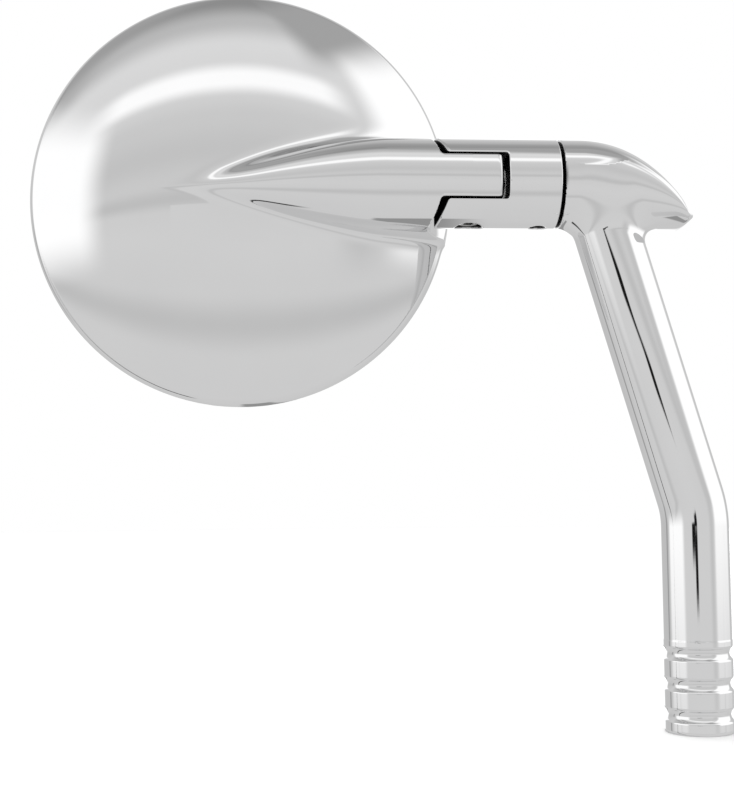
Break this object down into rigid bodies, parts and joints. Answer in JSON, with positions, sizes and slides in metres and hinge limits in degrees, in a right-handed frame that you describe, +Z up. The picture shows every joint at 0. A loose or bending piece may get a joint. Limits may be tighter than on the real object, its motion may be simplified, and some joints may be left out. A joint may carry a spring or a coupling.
{
  "type": "handlebar mirror",
  "caption": "Round chrome handlebar mirror: a domed head on a forked friction swivel and a leaning stem with a grooved, threaded foot.",
  "frame": {"origin": "middle of the stem's flat foot, on the axis of its threaded socket", "axes": "+Z up along the stem's lower, upright stretch; +X along the neck axis from the head towards the stem; +Y from the domed back towards the glass"},
  "size_m": [0.1962, 0.0345, 0.213],
  "materials": {
    "chrome": "polished chrome plate",
    "steel": "plain zinc-plated steel",
    "bronze": "turned bronze",
    "nylon": "black moulded nylon",
    "rubber": "matt black rubber",
    "foam": "dark grey foam tape",
    "mirror": "silvered convex glass"
  },
  "bodies": {
    "stem": {"stem": "chrome", "foot_thread_insert": "steel", "swivel_thread_insert": "steel", "swivel_bolt": "steel"},
    "swivel": {"clevis": "chrome", "swivel_friction_washer": "nylon", "swivel_disc_spring_outer": "steel", "swivel_disc_spring_inner": "steel", "swivel_grub_screw": "steel", "swivel_grub_pad": "bronze", "pivot_screw": "steel", "pivot_disc_spring": "steel", "pivot_thread_insert": "steel", "pivot_washer_upper": "nylon", "pivot_washer_lower": "nylon"},
    "head": {"head_shell": "chrome", "pivot_bush": "bronze", "mirror_glass": "mirror", "glass_gasket": "rubber", "glass_pad": "foam"}
  },
  "joints": [
    {"name": "swivel_turn", "type": "hinge", "parent": "stem", "child": "swivel", "pos_m": [-0.03708, 0, 0.1521], "axis": [1, 0, 0], "continuous": true},
    {"name": "head_yaw", "type": "hinge", "parent": "swivel", "child": "head", "pos_m": [-0.06198, 0, 0.1521], "axis": [0, 0, 1], "range_deg": [-7.5, 7.5]}
  ]
}
